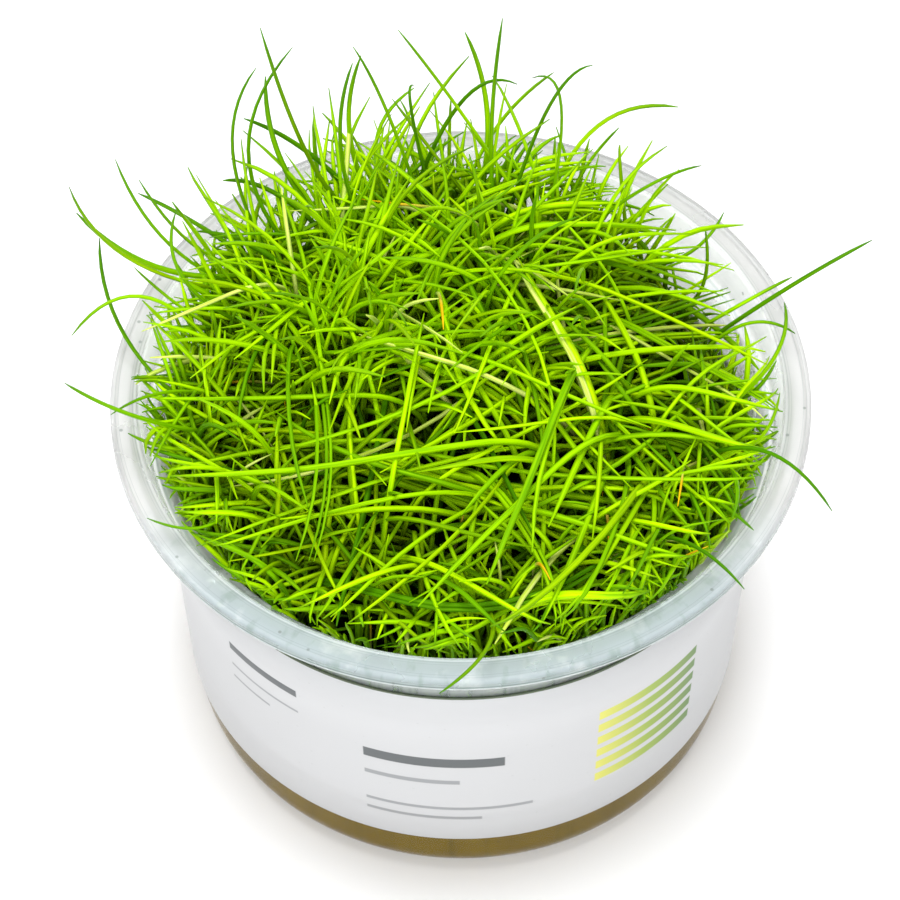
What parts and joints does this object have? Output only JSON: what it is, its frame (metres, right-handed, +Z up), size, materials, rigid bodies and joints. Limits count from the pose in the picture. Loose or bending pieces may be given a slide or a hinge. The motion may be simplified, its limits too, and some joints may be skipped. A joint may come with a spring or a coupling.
{
  "type": "dwarf hairgrass in a clear growing cup",
  "caption": "Dense dwarf hairgrass grown on nutrient gel in a clear flanged plastic cup with a plain white wrap-around label; it stands on its flat base.",
  "frame": {"origin": "centre of the cup's flat base, on the surface it stands on", "axes": "+Z up along the cup's axis, -Y towards the front of the label, +X to the viewer's right"},
  "size_m": [0.1082, 0.0981, 0.0981],
  "materials": {
    "clear_plastic": "clear, glossy, faintly hazy thin plastic",
    "label_paper": "satin white film label with plain grey bars and a plain green panel",
    "nutrient_gel": "cloudy olive-tan gel",
    "turf_green": "dense tangle of fine green blades",
    "blade_green": "bright yellow-green, lightly glossy leaf"
  },
  "bodies": {
    "root": {"cup": "clear_plastic", "label": "label_paper", "gel": "nutrient_gel", "turf": "turf_green", "long_blade_01": "blade_green", "long_blade_02": "blade_green", "long_blade_03": "blade_green", "long_blade_04": "blade_green", "long_blade_05": "blade_green", "long_blade_06": "blade_green", "long_blade_07": "blade_green", "long_blade_08": "blade_green", "long_blade_09": "blade_green", "long_blade_10": "blade_green", "long_blade_11": "blade_green", "long_blade_12": "blade_green", "long_blade_13": "blade_green", "long_blade_14": "blade_green", "long_blade_15": "blade_green", "long_blade_16": "blade_green", "long_blade_17": "blade_green", "long_blade_18": "blade_green", "long_blade_19": "blade_green", "long_blade_20": "blade_green", "long_blade_21": "blade_green", "long_blade_22": "blade_green", "long_blade_23": "blade_green", "long_blade_24": "blade_green", "long_blade_25": "blade_green", "long_blade_26": "blade_green", "long_blade_27": "blade_green", "long_blade_28": "blade_green", "long_blade_29": "blade_green", "long_blade_30": "blade_green", "long_blade_31": "blade_green", "long_blade_32": "blade_green", "long_blade_33": "blade_green", "long_blade_34": "blade_green", "long_blade_35": "blade_green", "long_blade_36": "blade_green", "long_blade_37": "blade_green", "long_blade_38": "blade_green", "long_blade_39": "blade_green", "long_blade_40": "blade_green", "long_blade_41": "blade_green", "long_blade_42": "blade_green", "long_blade_43": "blade_green", "long_blade_44": "blade_green", "long_blade_45": "blade_green", "long_blade_46": "blade_green", "long_blade_47": "blade_green", "long_blade_48": "blade_green", "long_blade_49": "blade_green", "long_blade_50": "blade_green"}
  },
  "joints": []
}
